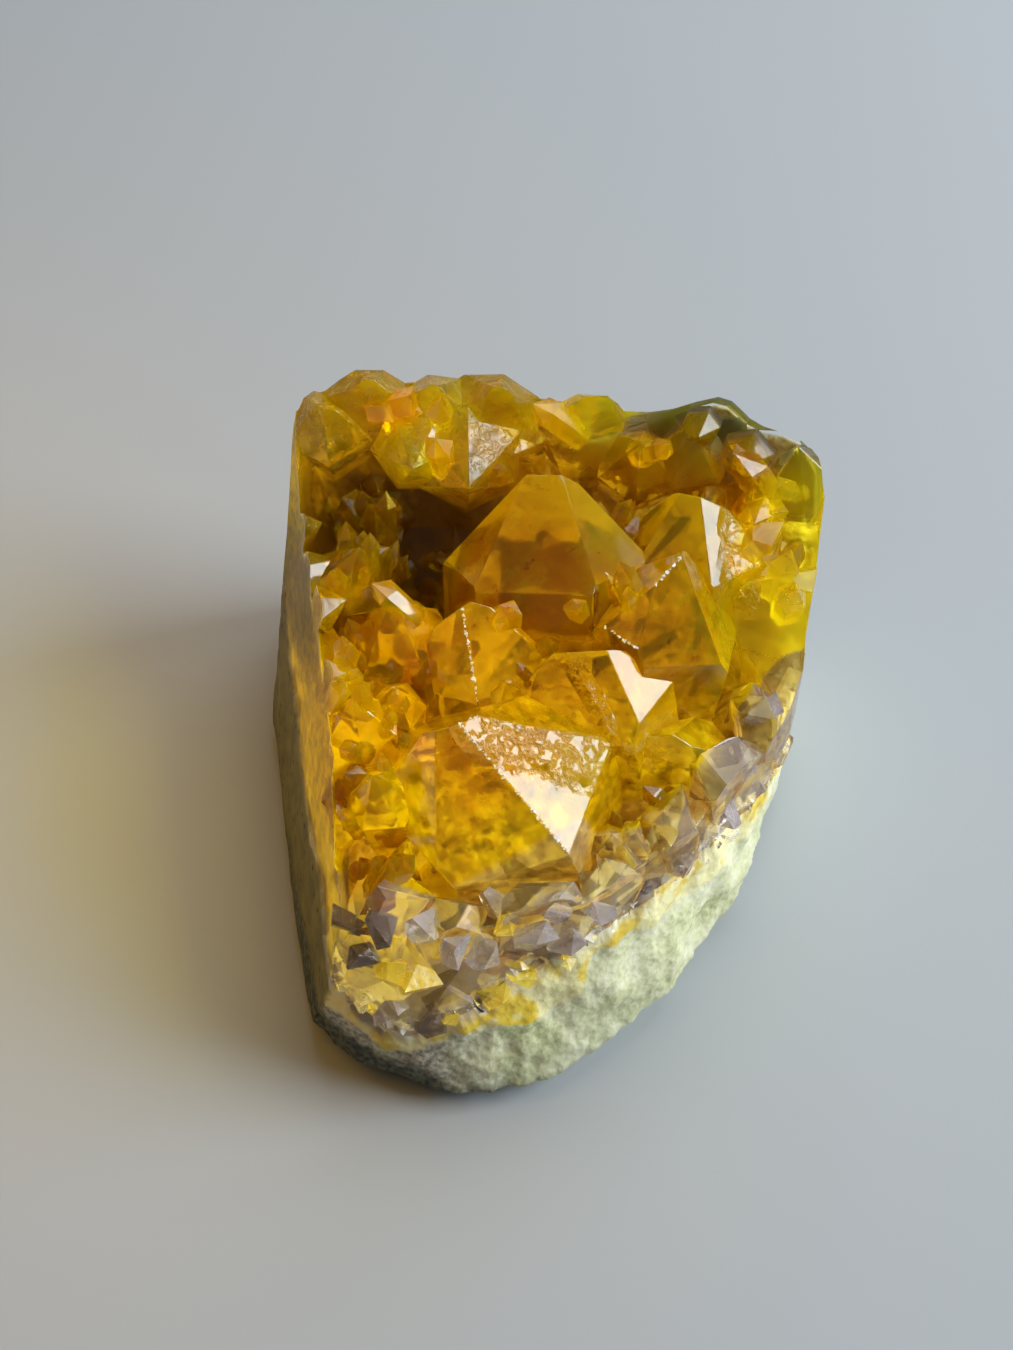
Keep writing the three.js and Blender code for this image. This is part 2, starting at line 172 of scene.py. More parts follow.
class Finish:
    """A material that is put together by code."""

    def __init__(self, name):
        self.material = bpy.data.materials.new(name)
        self.material.use_nodes = True
        self.material.node_tree.nodes.clear()

    def add(self, kind, settings=None, sockets=None, out=0):
        """Makes a node, sets its settings, fills its sockets, and returns one of its outputs."""
        node = self.material.node_tree.nodes.new("ShaderNode" + kind)
        for key, value in (settings or {}).items():
            if key == "stops":
                self.fill_ramp(node.color_ramp, value)
            else:
                setattr(node, key, value)
        for key, value in (sockets or {}).items():
            self.feed(node.inputs[key], value)
        return Value(self, node.outputs[out]) if node.outputs else node

    def feed(self, socket, value):
        if isinstance(value, Value):
            self.material.node_tree.links.new(value.socket, socket)
        else:
            socket.default_value = value

    @staticmethod
    def fill_ramp(ramp, stops):
        while len(ramp.elements) < len(stops):
            ramp.elements.new(1.0)
        for element, (place, colour) in zip(ramp.elements, stops):
            element.position = place
            element.color = colour

    def mixed(self, share, first, second):
        """first where share is 0 and second where share is 1; both are colours."""
        return self.add("Mix", {"data_type": "RGBA"}, {0: share, 6: first, 7: second}, out=2)

    def ramp(self, place, *stops):
        return self.add("ValToRGB", {"stops": stops}, {0: place})

    def clouds(self, size, detail=3.0, rough=0.5):
        """Noise from about 0 to 1 whose lumps are size mm wide."""
        spot = self.add("TexCoord", out=3)
        sockets = {"Vector": spot, "Scale": 1 / (size * MM), "Detail": detail, "Roughness": rough}
        return self.add("TexNoise", {}, sockets)

    def cells(self, size, out=0):
        """Cells size mm wide: the distance from each one's middle, or with out=1 a chance value for each."""
        spot = self.add("TexCoord", out=3)
        return self.add("TexVoronoi", {}, {"Vector": spot, "Scale": 1 / (size * MM)}, out=out)

    def mark(self, name):
        """A number that the mesh carries at each of its points."""
        return self.add("Attribute", {"attribute_name": name}, out=2)

    def relief(self, height, depth):
        """A bump whose full height is depth mm."""
        return self.add("Bump", {}, {"Height": height, "Distance": depth * MM, "Strength": 1.0})

    def surface(self, **sockets):
        """The node that most finishes end in; Base_Color=... feeds its socket Base Color."""
        named = {key.replace("_", " "): value for key, value in sockets.items()}
        return self.add("BsdfPrincipled", {}, named)

    def lets_light_in(self, surface, tint):
        """Glass that lamps can shine through: for their rays it is a clear film of the tint."""
        lamp_ray = self.add("LightPath", out=1)
        film = self.add("BsdfTransparent", {}, {"Color": tint})
        return self.add("MixShader", {}, {0: lamp_ray, 1: surface, 2: film})

    def output(self, surface, volume=None):
        sockets = {"Surface": surface}
        if volume:
            sockets["Volume"] = volume
        self.add("OutputMaterial", {}, sockets)
        return self.material


# %% A function for colours
def screen(*channels):
    """Red, green and blue as a screen shows them, 0 to 255, turned into the linear ones of Blender."""
    parts = [channel / 255 for channel in channels]
    return (*[part / 12.92 if part <= 0.04045 else ((part + 0.055) / 1.055) ** 2.4 for part in parts], 1)


print("a mid grey is", [round(c, 3) for c in screen(128, 128, 128)])

# %% [markdown]
# ## Working on the solids' surfaces
# The solids have few, large faces. Relief and colour that change over a face need points inside it, so
# edges longer than a limit are halved, in up to six rounds, which leaves a few longer ones. A cut in the
# middle of an edge keeps each crystal face flat.

# %% Helpers that change a mesh


def mesh_of(node):
    """A working copy of a solid's surface, with the points that its faces share joined."""
    copy = bmesh.new()
    copy.from_mesh(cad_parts[node].data)
    bmesh.ops.remove_doubles(copy, verts=copy.verts, dist=0.002 * MM)
    bmesh.ops.recalc_face_normals(copy, faces=copy.faces)
    return copy


def drop_thin_faces(mesh, width=0.01):
    """Closes up faces thinner than width, in mm, which could end as doubled faces."""
    bmesh.ops.dissolve_degenerate(mesh, dist=width * MM, edges=mesh.edges)
    bmesh.ops.triangulate(mesh, faces=[face for face in mesh.faces if len(face.verts) > 3])


def split_long_edges(mesh, limit, rounds=6):
    """Halves the edges longer than limit, in mm, until there is none or the rounds run out."""
    for _ in range(rounds):
        long = [e for e in mesh.edges if e.calc_length() > limit * MM]
        if not long:
            break
        bmesh.ops.subdivide_edges(mesh, edges=long, cuts=1)
        bmesh.ops.triangulate(mesh, faces=mesh.faces)
    drop_thin_faces(mesh)
    return mesh


# %% Helpers that finish a piece
def store(mesh, name, values):
    """Writes one number for each point of a mesh under a name that finishes can ask for."""
    mesh.attributes.new(name, "FLOAT", "POINT").data.foreach_set("value", np.asarray(values, np.float32))


def store_all(piece, marks):
    for name, values in marks.items():
        store(piece.data, name, values)


def piece_from(name, mesh, finish, stands_for=()):
    """Turns a working mesh into a piece that rides on the part, with its finish."""
    data = bpy.data.meshes.new(name)
    mesh.to_mesh(data)
    mesh.free()
    if data.validate():
        print(name, "had faulty faces, which are gone now")
    piece = bpy.data.objects.new(name, data)
    bpy.context.scene.collection.objects.link(piece)
    data.materials.append(finish)
    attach(piece, "root")
    if stands_for:
        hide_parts(*stands_for)
    print(name, len(data.polygons), "faces")
    return piece


def faded(values, low, high):
    """The same smooth step as in the finishes, for numbers in Python."""
    t = np.clip((values - low) / (high - low), 0, 1)
    return t * t * (3 - 2 * t)


# %% The two solids
crystal_mesh = mesh_of("citrine_crystals")
rind_mesh = mesh_of("geode_matrix")
crystal_tree = BVHTree.FromBMesh(crystal_mesh)
rind_tree = BVHTree.FromBMesh(rind_mesh)
print("solids:", len(crystal_mesh.faces), "and", len(rind_mesh.faces), "faces")

# %% [markdown]
# ## The rind
# The rind is chalcedony, a stone of quartz fibres too fine to see. Where it is broken it looks like packed
# sugar. Its outside is darker and greener, low down, at the back and most of all at the front left corner.
# It is opaque, so its relief can be real: every point moves a little along its normal, by noise at two
# sizes. Its top edge also grows into the quartz, because on the real piece nothing separates them.
#
# The solids lie a small gap apart. So the rind's points that have quartz close above them move into the
# quartz, as far as `SINK`. At the sawn left side such a move could break out of the flat face, and is
# stopped there. The thin top edge at the back hardly moves at all.

# %% Rind surface
LUMPS, SUGAR = 0.36, 0.10  # heights of the coarse and the fine relief
QUARTZ_REACH, SINK = 0.75, 0.45
split_long_edges(rind_mesh, 0.44)
rind_mesh.normal_update()
for point in rind_mesh.verts:
    spot = point.co / MM
    nearest, outward, _, away = crystal_tree.find_nearest(point.co)
    touching = away / MM < QUARTZ_REACH
    lumps = noise.fractal(spot * 0.35, 0.9, 2.1, 3) * LUMPS
    sugar = noise.fractal(spot * 1.7 + Vector((7, 1, 3)), 0.6, 2.2, 4) * SUGAR
    above_floor = min(max((spot.z - 0.15) / 1.2, 0), 1)
    sliver = spot.z > 17 and spot.y > 8
    calm = 0.1 if sliver else 0.25 if point.normal.x < -0.86 else 1.0
    point.co += point.normal * (lumps + sugar) * MM * above_floor * calm
    if touching and not sliver and point.normal.x > -0.45:
        outside = (point.co - nearest).dot(outward) > 0
        into = (nearest - point.co).normalized() if outside and away > 0.05 * MM else -outward
        push = into * max(SINK * MM + (away if outside else -away), 0)
        if spot.x < -14:
            push.x = max(push.x, 0)
        point.co += push
rind_points = np.array([v.co for v in rind_mesh.verts]) / MM
print("rind points:", len(rind_points))

# %% [markdown]
# ## Places that glow, and places that stay dark
# Crystals pass light on to some spots, and a hollow keeps it out of others. Tracing every such path is slow
# and noisy, so the spots are named here by their middle and radius. Each function takes points and gives
# one number for each. The same numbers then steer the colour of the rind, the crystals and the small ones.

# %% The front rim
FRONT_RIM = (
    (-11.5, -15.6),
    (-7.0, -17.4),
    (-2.0, -16.3),
    (3.0, -14.6),
    (8.0, -10.8),
    (12.0, -6.0),
    (15.5, -0.5),
)


def along_front(points):
    """1 near the broken front rim, where the quartz is clear, 0 elsewhere; the band narrows to the right."""
    width = 5.2 - 2.2 * faded(points[:, 0], 2, 7)
    nearest = np.full(len(points), 99.0)
    for a, b in zip(FRONT_RIM[:-1], FRONT_RIM[1:]):
        a, b = np.array(a), np.array(b)
        share = np.clip((points[:, :2] - a) @ (b - a) / ((b - a) @ (b - a)), 0, 1)
        gap = np.linalg.norm(points[:, :2] - a - share[:, None] * (b - a), axis=1)
        nearest = np.minimum(nearest, gap)
    return faded(-nearest / width, -1.1, -0.8)


print("front rim:", len(FRONT_RIM), "corners")

# %% Bright spots
BRIGHT_SPOTS = (
    ((-6.7, -7.8, 15.5), 3.4),
    ((-5.3, 7.2, 17.0), 2.6),
    ((14.0, 4.0, 16.0), 6.0),
    ((15.5, 10.5, 20.0), 4.0),
    ((-6.8, -15.2, 9.5), 3.0),
    ((-8.0, 13.5, 19.0), 3.5),
    ((2.5, 1.0, 14.0), 3.0),
    ((-1.0, -9.5, 13.5), 4.5),
    ((7.5, 4.0, 15.0), 3.0),
    ((2.0, 4.5, 17.0), 3.2),
    ((-3.0, 0.5, 15.0), 3.0),
    ((4.0, 16.0, 21.0), 3.5),
    ((-5.0, 17.0, 20.0), 3.5),
)


def sunlit(points):
    """1 at the spots where light that crossed the crystals collects, 0 far from them."""
    nearest = np.full(len(points), 9.0)
    for centre, radius in BRIGHT_SPOTS:
        nearest = np.minimum(nearest, np.linalg.norm(points - centre, axis=1) / radius)
    return faded(-nearest, -1.0, -0.35)


# %% The hollow and the hazy faces
def hollow_shade_share(points):
    """1 deep in the cavity at the back left, where shade is painted into the colour, 0 outside it."""
    x, y, z = points.T
    return faded(-np.hypot((x + 9.5) / 1.5, y - 12.5), -7.0, -3.5) * faded(-z, -19.5, -14.5)


def haziness(points):
    """1 where the faces are frosted: the back row and the right flank; less on the crystal in the middle."""
    back_row = faded(points[:, 1], 9.5, 13) * 0.6
    flank = faded(-np.linalg.norm(points - (14.5, 6.5, 16.5), axis=1), -6.0, -4.0)
    middle = faded(-np.linalg.norm(points - (0.5, 7.5, 20.0), axis=1), -6.5, -4.5)
    return np.maximum(np.maximum(back_row, flank), middle * 0.4)


rim_share = along_front(np.array([(*corner, 8.0) for corner in FRONT_RIM])).mean()
print("glow:", len(BRIGHT_SPOTS), "spots; share of the rim that is in its own band:", round(rim_share, 2))

# %% [markdown]
# ## The rind's finish
# The colour of the rind follows its place. Low down, all over the back, and most of all at the front left
# corner it is a dark grey-green. The broken wall is pale and greenish, with grey-green clouds. Just under the
# quartz, iron has stained it yellow in patches. The sawn-looking left side shows the layers edge on, in
# olive. What lies under the quartz is the bed, a mottled gold that shows through the crystals.
#
# Each place could be masked in the finish by its coordinates. Here Python works out one share from 0 to 1
# for every point and stores it on the mesh under a name, because distances to the quartz aren't known to a
# finish.

# %% Where each colour of the rind lies
x, y, z = rind_points.T
facing = np.array([v.normal for v in rind_mesh.verts])
under_quartz = np.array([crystal_tree.find_nearest(v.co)[3] / MM for v in rind_mesh.verts])
# the dark outside of the rind: low at the front, the front left corner, and the back
low_front = faded(-z, -4.0, -0.3) * faded(-x, -9, 3) * 0.75
left_corner = faded(-x - 0.5 * y, 10, 19) * faded(-y, 2, 9) * faded(-z, -5.0, -1.2)
behind = np.maximum(faded(y, 10, 15) * faded(facing[:, 1], 0.2, 0.6), faded(z, 18, 20) * faded(y, 8, 10))
HONEY = (((0.2, -15.6, 7.2), 3.6), ((10.3, -8.6, 9.6), 3.2))
near_honey = [faded(-np.linalg.norm(rind_points - at, axis=1) / radius, -1, -0.4) for at, radius in HONEY]
rind_marks = {
    "skin": np.maximum(np.maximum(low_front, left_corner), behind),
    "side": faded(-facing[:, 0], 0.72, 0.9) * faded(-x, 9, 11),
    "stain": faded(-under_quartz, -4.2, -0.6),
    "honey": sum(near_honey),
    "under": faded(-under_quartz, -0.9, -0.5) * faded(facing[:, 2], 0.1, 0.4),
    "hollow": hollow_shade_share(rind_points),
    "front": along_front(rind_points),
    "base": faded(-z, -5.5, -1.0) * (1 - 0.7 * faded(x, 4, 9)),
    "corner": faded(-x, 2, 7) * faded(-y, 8, 13),
    "sugary": faded(-under_quartz, -2.4, -0.9) * 0.8,
    "sunlit": sunlit(rind_points),
}
print("mean shares:", {name: round(float(values.mean()), 2) for name, values in rind_marks.items()})

# %% Colours of the bare rind
rind = Finish("chalcedony")
grain = rind.clouds(0.35, detail=4)
patches = rind.clouds(3.2, detail=4, rough=0.6)
broad = rind.clouds(7.5, detail=3)
pale = rind.ramp(
    grain * 0.35 + patches * 0.65,
    (0.28, screen(136, 144, 98)),
    (0.40, screen(202, 203, 152)),
    (0.52, screen(230, 228, 186)),
    (0.68, screen(245, 242, 220)),
)
stained = rind.mixed(patches.fade(0.40, 0.52), screen(236, 200, 20), screen(250, 238, 176))
layers = rind.mixed(rind.clouds(1.4).fade(0.3, 0.7), screen(142, 132, 66), screen(112, 106, 58))
layers = rind.mixed(rind.cells(1.1).fade(0.22, 0.12), layers, screen(92, 66, 30))
chunky = rind.mixed(grain.fade(0.35, 0.65), screen(134, 124, 108), screen(214, 208, 190))
dark = rind.mixed(grain.fade(0.35, 0.65), screen(48, 54, 44), screen(104, 106, 84))
rust = rind.mark("stain") * 1.1 + rind.mark("honey") * 1.2 + broad * 3.2 - 2.1
body = rind.mixed(rind.mark("sugary") * grain.fade(0.35, 0.6), pale, screen(244, 242, 232))
body = rind.mixed(rind.mark("corner") * patches.fade(0.3, 0.5), body, chunky)
body = rind.mixed(rind.mark("base") * (0.1 + broad * 0.6), body, screen(128, 136, 116))
body = rind.mixed(rust.fade(0.2, 0.4) * 0.9, body, stained)
body = rind.mixed(rind.mark("side"), body, layers)
body = rind.mixed((rind.mark("skin") + patches * 0.9 - 0.45).fade(0.35, 0.75), body, dark)
print("nodes so far:", len(rind.material.node_tree.nodes))

# %% Colours of the bed under the quartz
veils = rind.clouds(1.6, detail=4, rough=0.65) * 0.6 + rind.clouds(5.0, detail=2) * 0.4
bed = rind.ramp(
    veils,
    (0.34, (0.12, 0.075, 0.02, 1)),
    (0.43, (0.40, 0.31, 0.12, 1)),
    (0.53, (0.68, 0.62, 0.38, 1)),
    (0.64, (0.85, 0.83, 0.66, 1)),
)
bare = rind.mixed(rind.cells(1.9, out=1).fade(0.42, 0.55), (0.20, 0.16, 0.16, 1), (0.80, 0.77, 0.80, 1))
bed = rind.mixed(rind.mark("front") * 0.85, bed, bare)
bed = rind.mixed(rind.mark("sunlit") * 0.8, bed, (0.90, 0.88, 0.70, 1))
# painted shade: the bed turns near black in the hollow at the back left
bed = rind.mixed(rind.mark("hollow"), bed, (0.07, 0.035, 0.012, 1))
body = rind.mixed(rind.mark("under"), body, bed)
print("nodes with the bed:", len(rind.material.node_tree.nodes))

# %% The rind as a piece
surface_shape = grain * 0.6 + rind.cells(0.5) * 0.8
chalcedony = rind.output(
    rind.surface(
        Base_Color=body,
        Roughness=0.62 - grain * 0.2,
        Normal=rind.relief(surface_shape, 0.07),
        Subsurface_Weight=0.25,
        Subsurface_Radius=(1.0, 0.9, 0.6),
        Subsurface_Scale=0.0006,
    )
)
rind_piece = piece_from("chalcedony_rind", rind_mesh, chalcedony, ("geode_matrix",))
store_all(rind_piece, rind_marks)
for polygon in rind_piece.data.polygons:
    polygon.use_smooth = True

# %% [markdown]
# ## The crystals
# The faces of a crystal are flat, and its edges are nearly sharp. But a perfectly sharp edge can't catch
# the light, so the long outer edges get a bevel of less than a tenth of a millimetre. Faces that lie in one
# plane are joined first, because a bevel needs to know which edges are real ones.

# %% Crystal surface
EDGE_ROUNDING = 0.045
bmesh.ops.remove_doubles(crystal_mesh, verts=crystal_mesh.verts, dist=0.02 * MM)
flat = {"verts": crystal_mesh.verts, "edges": crystal_mesh.edges}
bmesh.ops.dissolve_limit(crystal_mesh, angle_limit=math.radians(0.8), **flat)
sharp = [
    edge
    for edge in crystal_mesh.edges
    if edge.is_manifold
    and edge.is_convex
    and edge.calc_length() > 1.2 * MM
    and math.radians(24) < edge.calc_face_angle(0) < math.radians(110)
]
ridges = [(edge.verts[0].co / MM, edge.verts[1].co / MM) for edge in sharp]
bmesh.ops.bevel(crystal_mesh, geom=sharp, offset=EDGE_ROUNDING * MM, segments=1, affect="EDGES")
bmesh.ops.triangulate(crystal_mesh, faces=crystal_mesh.faces)
drop_thin_faces(crystal_mesh)
split_long_edges(crystal_mesh, 0.9)
crystal_mesh.normal_update()
print("rounded", len(sharp), "edges")

# %% [markdown]
# ## How much sky a place sees
# Deep between the crystals the quartz looks darker and browner, because it lies in shade. A renderer finds
# that shade by itself, but only slowly through this much glass, so it is painted into the finish: from each
# point, rays go out in 20 directions, and the share that meets no crystal nearby is stored. The directions
# follow a spiral with the golden angle, which spreads any number of them evenly.

# %% Open sky
GOLDEN_ANGLE = 2.39996


def directions(count):
    """Directions spread evenly over the upper half of a sphere."""
    steps = np.arange(count) + 0.5
    height, turn = 1 - steps / count, steps * GOLDEN_ANGLE
    flat = np.sqrt(1 - height**2)
    return [Vector(way) for way in zip(flat * np.cos(turn), flat * np.sin(turn), height)]


SKY = directions(20)


def openness(place, normal, reach=14):
    """The share of the sky that no crystal within reach, in mm, hides from a place, in metres."""
    start = place + normal * 0.15 * MM
    seen = [way for way in SKY if way.dot(normal) > 0.1]
    return sum(crystal_tree.ray_cast(start, way, reach * MM)[0] is None for way in seen) / len(SKY)


open_sky = np.array([openness(v.co, v.normal) for v in crystal_mesh.verts])
print("points see from", round(open_sky.min(), 2), "to", round(open_sky.max(), 2), "of the sky")

# %% [markdown]
# ## Where each colour of the quartz lies
# Quartz here is clear where it grew first, next to the rind, and amber in the points, which grew last. So
# the colour depends on the distance from the rind. Along the front rim the quartz is broken, and clear
# whatever its height. One large face, and a smaller one behind it, are etched: fluid has eaten shallow pits
# and steps into them. Such a face is found by its plane, as the points whose distance from it is small.

# %% Shares of the crystals
crystal_points = np.array([v.co for v in crystal_mesh.verts]) / MM
facing = np.array([v.normal for v in crystal_mesh.verts])
from_rind = np.array([rind_tree.find_nearest(v.co)[3] / MM for v in crystal_mesh.verts])
x, y, z = crystal_points.T
amber_from = 3.4 - 2.6 * faded(y, -1, 8)
broken = faded(-facing[:, 0], 0.8, 0.93) * faded(-x, 9.5, 10.5)
crystal_marks = {
    "amber": faded(from_rind - amber_from, -0.4, 0.9) * (1 - along_front(crystal_points)),
    "tip": faded(from_rind, 5, 13),
    "broken": broken,
    "open": open_sky,
    "hollow": hollow_shade_share(crystal_points),
    "sunlit": sunlit(crystal_points),
    "frost": faded(y, 9, 13),
    "haze": haziness(crystal_points),
    "sugary": faded(-from_rind, -1.9, -0.7) * faded(-y, -2, 4) * (1 - broken),
    "sliver": faded(z, 20.0, 21.5) * faded(x, 6, 8) * faded(-from_rind, -1.5, -0.6),
}
print("crystal points:", len(crystal_points), "deepest", round(from_rind.max(), 1), "mm from the rind")


# %% Etched faces
def on_face(facing, distance, middle, reach):
    """1 on one flat face: the way it faces, its distance from the origin, its middle, and how far it goes."""
    off_plane = np.abs(crystal_points @ np.array(facing) - distance)
    off_middle = np.linalg.norm(crystal_points - middle, axis=1)
    return faded(-off_plane, -0.5, -0.2) * faded(-off_middle, -reach[1], -reach[0])


lower_end = (crystal_points - (-2.22, -7.53, 18.63)) @ (0.134, 0.938, 0.318)
large_face = on_face((0.511, -0.341, 0.789), 16.14, (0, -7, 17), (7.5, 8.5)) * faded(lower_end, -0.4, 0.9)
small_face = on_face((0.48, -0.40, 0.78), 17.56, (11, 8, 20), (5.0, 5.5)) * faded(x, 10.7, 11.3)
back_left = faded(y, 9, 11) * faded(z, 16, 18) * faded(-x, -3, -1) * 0.4
faintly = 0.025 * (crystal_marks["amber"] > 0.5)
crystal_marks["etched"] = np.maximum.reduce([large_face, small_face, back_left, faintly])
print("etched points:", int((crystal_marks["etched"] > 0.5).sum()))

# %% [markdown]
# ## The finish of the crystals
# Glass in Blender gets its colour in two ways. The base colour tints light as it crosses the surface, and a
# volume absorbs light along the way, which makes thick crystals deeper in colour than thin ones. Both are
# used: the base colour for what changes from place to place, the volume for depth. A share of 15% of the
# surface scatters light under the skin instead, as the fine veils in real quartz do.

# %% Colours of the quartz
citrine = Finish("citrine")
soft = citrine.clouds(4.5, detail=4, rough=0.6)
fine = citrine.clouds(0.8, detail=5, rough=0.65)
veil = citrine.clouds(1.7, detail=5, rough=0.7)
sunny = citrine.mixed(soft.fade(0.35, 0.65), (0.93, 0.67, 0.004, 1), (0.96, 0.77, 0.006, 1))
deep = citrine.mixed(soft.fade(0.4, 0.7), (0.87, 0.52, 0.003, 1), (0.76, 0.36, 0.003, 1))
warm = citrine.mixed((citrine.mark("tip") * 0.8 + fine * 0.5 - 0.25).fade(0.1, 0.8), sunny, deep)
warm = citrine.mixed(citrine.mark("frost") * 0.7, warm, (0.95, 0.53, 0.004, 1))
warm = citrine.mixed(citrine.mark("sunlit") * (0.6 + fine * 0.6), warm, (1.0, 0.86, 0.005, 1))
warm = citrine.mixed(veil.fade(0.52, 0.66) * 0.45, warm, (1.0, 0.84, 0.01, 1))
specks = citrine.clouds(0.9, detail=3, rough=0.6).fade(0.60, 0.70)
warm = citrine.mixed(specks * citrine.mark("tip") * 0.75, warm, (0.42, 0.13, 0.003, 1))
clear = citrine.mixed(soft.fade(0.35, 0.6), (0.82, 0.80, 0.84, 1), (0.50, 0.46, 0.50, 1))
clear = citrine.mixed(citrine.cells(2.4, out=1).fade(0.52, 0.58) * 0.85, clear, (0.20, 0.16, 0.18, 1))
olive = citrine.mixed(fine.fade(0.4, 0.62), screen(126, 108, 44), screen(182, 154, 28))
print("colour nodes:", len(citrine.material.node_tree.nodes))

# %% Which colour goes where
# painted shade: deep between the crystals, where little sky is open, the quartz darkens to brown, less so at
# the sunlit spots
crevice_shade = (1.0 - citrine.mark("open")).fade(0.40, 0.86) * (0.88 - citrine.mark("sunlit") * 0.7)
tone = citrine.mixed((citrine.mark("amber") + soft * 0.5 - 0.25).fade(0.3, 0.7), clear, warm)
tone = citrine.mixed(crevice_shade, tone, (0.34, 0.13, 0.003, 1))
# painted shade: the quartz turns deep brown in the hollow at the back left
tone = citrine.mixed(citrine.mark("hollow") * 0.85, tone, (0.13, 0.05, 0.004, 1))
tone = citrine.mixed(citrine.mark("broken"), tone, olive)
tone = citrine.mixed(citrine.mark("sliver") * 0.95, tone, screen(74, 70, 24))
dullness = (
    0.04
    + fine.fade(0.5, 0.75) * 0.08
    + citrine.mark("broken") * 0.4
    + citrine.mark("sliver") * 0.4
    + citrine.mark("sugary") * 0.35
    + citrine.mark("haze") * 0.26
)
steps = citrine.clouds(0.9, detail=4, rough=0.6).fade(0.40, 0.58)
pits = steps * 0.10 + citrine.clouds(1.8, detail=2) * 0.34
print("nodes with the shares:", len(citrine.material.node_tree.nodes))

# %% The crystals as a piece
CITRINE_DEPTH = 110  # how strongly the quartz absorbs, for each metre
glassy_amber = citrine.surface(
    Base_Color=tone,
    Roughness=dullness,
    IOR=1.544,
    Transmission_Weight=0.85,
    Subsurface_Weight=1.0,
    Subsurface_Radius=(1.0, 0.7, 0.06),
    Subsurface_Scale=0.009,
    Normal=citrine.relief(fine * 0.012 + citrine.mark("etched") * pits, 1.0),
)
absorbed = {"Color": (0.99, 0.90, 0.10, 1), "Density": CITRINE_DEPTH}
depth_colour = citrine.add("VolumeAbsorption", {}, absorbed)
amber_quartz = citrine.output(citrine.lets_light_in(glassy_amber, (0.98, 0.94, 0.55, 1)), depth_colour)
crystals = piece_from("citrine_points", crystal_mesh, amber_quartz, ("citrine_crystals",))
store_all(crystals, crystal_marks)

# %% [markdown]
# ## Small crystals
# Between the large crystals, and all over the hollow at the back left, much smaller ones have grown. Each
# is a six-sided column with a six-sided point, and on quartz three of the six point faces are larger than
# the others. There are too many to model one by one, so a function makes a crystal from its root, its
# direction, its width and its length, a little different each time. The chance numbers start from a fixed
# seed, so each run gives the same piece.

# %% A function for one crystal
dice = random.Random(7)


def grow(mesh, root, way, width, length):
    """Adds one closed crystal; root and way are vectors, width and length are in mm."""
    aside = way.orthogonal().normalized()
    across = way.cross(aside)
    turn = dice.uniform(0, math.tau)
    corners = []
    for step in range(6):
        angle = turn + step * math.pi / 3
        out = (aside * math.cos(angle) + across * math.sin(angle)) * width / 2 * MM
        corners.append(out * dice.uniform(0.85, 1.15))
    foot = [mesh.verts.new(root + out * 0.9) for out in corners]
    shoulder = []
    for step, out in enumerate(corners):
        rise = length - width * (0.55 if step % 2 else 0.75) * dice.uniform(0.85, 1.15)
        shoulder.append(mesh.verts.new(root + out + way * rise * MM))
    lean = (aside * dice.uniform(-0.15, 0.15) + across * dice.uniform(-0.15, 0.15)) * width * MM
    peak = mesh.verts.new(root + way * length * MM + lean)
    mesh.faces.new(foot[::-1])
    for a in range(6):
        b = (a + 1) % 6
        mesh.faces.new((foot[a], foot[b], shoulder[b], shoulder[a]))
        mesh.faces.new((shoulder[a], shoulder[b], peak))
    return foot + shoulder + [peak]


trial = bmesh.new()
chances = dice.getstate()
print("one crystal has", len(grow(trial, Vector(), Vector((0, 0, 1)), 2, 4)), "corners")
dice.setstate(chances)
trial.free()

# %% [markdown]
# ## Where the small crystals grow
# Rays dropped onto the big crystals find the places. A hit counts where enough of the sky is hidden, and
# each zone sets how much, because small crystals fill the gaps and leave the big faces clean. It doesn't
# count close to the rind, on the broken band, or where the crystal would stick out of the sawn left side.

# %% Zones
BIG_FACE = (-7.0, -8.3, 14.5)
# west and east, south and north, tries, thinnest and widest, most open sky, highest
ZONES = (
    ((-12.2, -3.5), (8.0, 16.0), 90, (0.9, 2.0), 0.70, 16),
    ((-12.2, -8.0), (-13.5, 9.0), 55, (0.8, 1.7), 0.62, 22),
    ((-9.0, 12.5), (-13.0, 14.0), 60, (0.7, 1.5), 0.42, 22),
    ((-12.5, 14.0), (13.0, 18.0), 14, (1.4, 2.4), 0.80, 22),
    ((-3.0, 6.0), (1.5, 6.5), 26, (0.9, 1.9), 0.60, 24),
    ((12.6, 15.2), (3.0, 12.0), 14, (1.3, 2.6), 1.0, 22),
)
print("tries:", sum(zone[2] for zone in ZONES))

